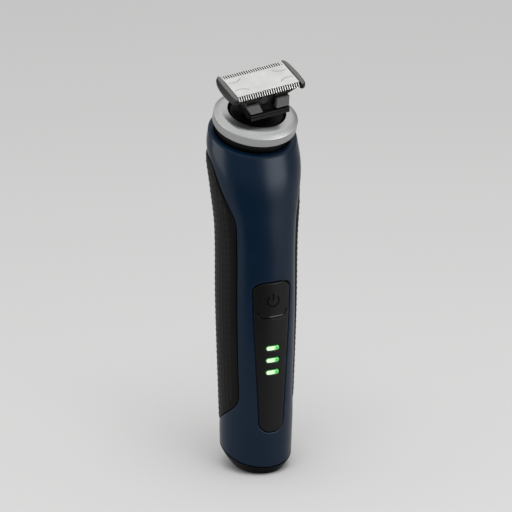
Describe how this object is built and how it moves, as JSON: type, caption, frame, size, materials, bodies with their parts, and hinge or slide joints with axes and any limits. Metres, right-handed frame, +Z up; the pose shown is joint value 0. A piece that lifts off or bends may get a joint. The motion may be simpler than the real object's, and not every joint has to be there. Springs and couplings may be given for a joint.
{
  "type": "body groomer",
  "caption": "Cordless body groomer: tubular dark blue handle with a soft rear grip, a front button and lights, a metal neck ring and a toothed blade on a tilting plug-on head.",
  "frame": {"origin": "on the resting face under the foot, on the handle's axis", "axes": "+Z up along the handle, -Y towards the front with the button and the lights, +X to the right as seen from the front"},
  "size_m": [0.0404, 0.0378, 0.1744],
  "materials": {
    "navy_plastic": "satin moulded dark blue",
    "soft_grip": "matt with small raised dots",
    "black_gloss": "semi-gloss black",
    "black_satin": "satin black",
    "green_light": "clear light guide lit green",
    "brushed_aluminium": "brushed round the axis",
    "blade_steel": "fine satin",
    "dark_steel": "machined",
    "grey_plastic": "satin grey",
    "chassis_plastic": "moulded",
    "cell_sleeve": "blue shrink sleeve over a metal can",
    "nickel": "nickel plate",
    "board_green": "solder mask",
    "seal_rubber": "matt"
  },
  "bodies": {
    "handle": {"body_shell": "navy_plastic", "rear_grip": "soft_grip", "front_panel": "black_gloss", "tact_switch": "black_satin", "led_lens_1": "green_light", "led_lens_2": "green_light", "led_lens_3": "green_light", "led_chip_1": "green_light", "led_chip_2": "green_light", "led_chip_3": "green_light", "circuit_board": "board_green", "chassis": "chassis_plastic", "battery_cell": "cell_sleeve", "battery_tab_lower": "nickel", "battery_tab_upper": "nickel", "motor_can": "dark_steel", "lever_bracket": "grey_plastic", "lever_pivot_pin": "dark_steel", "drive_seal": "seal_rubber", "neck_socket": "black_satin", "trim_ring": "brushed_aluminium", "base_cap": "black_satin", "charging_socket": "black_satin", "charging_pin_left": "nickel", "charging_pin_right": "nickel", "base_screw_left": "dark_steel", "base_screw_right": "dark_steel"},
    "button": {"power_button": "black_gloss", "switch_plunger": "grey_plastic"},
    "rotor": {"motor_shaft": "dark_steel", "drive_eccentric": "grey_plastic"},
    "lever": {"drive_lever": "grey_plastic", "drive_pin": "dark_steel"},
    "coupler": {"blade_coupler": "black_satin"},
    "gimbal": {"gimbal_ring": "grey_plastic", "pitch_pin_left": "dark_steel", "pitch_pin_right": "dark_steel", "roll_pin_front": "dark_steel", "roll_pin_rear": "dark_steel"},
    "carrier": {"blade_carrier": "black_satin", "guard_plate": "blade_steel", "end_guard_left": "grey_plastic", "end_guard_right": "grey_plastic", "latch_pad_left": "grey_plastic", "latch_pad_right": "grey_plastic"},
    "cutter": {"cutter_blade": "dark_steel", "cutter_bridge": "grey_plastic"}
  },
  "joints": [
    {"name": "button_press", "type": "slide", "parent": "handle", "child": "button", "axis": [0, 1, 0], "range_m": [0, 0.0008], "stiffness_N_per_m": 1500},
    {"name": "motor_spin", "type": "hinge", "parent": "handle", "child": "rotor", "pos_m": [0, 0.00379, 0.1271], "axis": [0, 0, 1], "continuous": true},
    {"name": "lever_rock", "type": "hinge", "parent": "handle", "child": "lever", "pos_m": [0, 0.00379, 0.14469], "axis": [0, 1, 0], "range_deg": [-5, 5]},
    {"name": "blade_release", "type": "slide", "parent": "handle", "child": "coupler", "axis": [0, -0.3987, 0.9171], "range_m": [0, 0.016]},
    {"name": "head_pitch", "type": "hinge", "parent": "coupler", "child": "gimbal", "pos_m": [0, -0.00439, 0.1635], "axis": [1, 0, 0], "range_deg": [-3.5, 16.5]},
    {"name": "head_roll", "type": "hinge", "parent": "gimbal", "child": "carrier", "pos_m": [0, -0.00439, 0.1635], "axis": [0, 0.9563, 0.2924], "range_deg": [-1.5, 18.5]},
    {"name": "cutter_slide", "type": "slide", "parent": "carrier", "child": "cutter", "axis": [0.989, -0.0432, 0.1414], "range_m": [-0.001, 0.001]}
  ],
  "couplings": [
    {"joint": "lever_rock", "follows": "cutter_slide", "rad_per_m": 53.191}
  ]
}
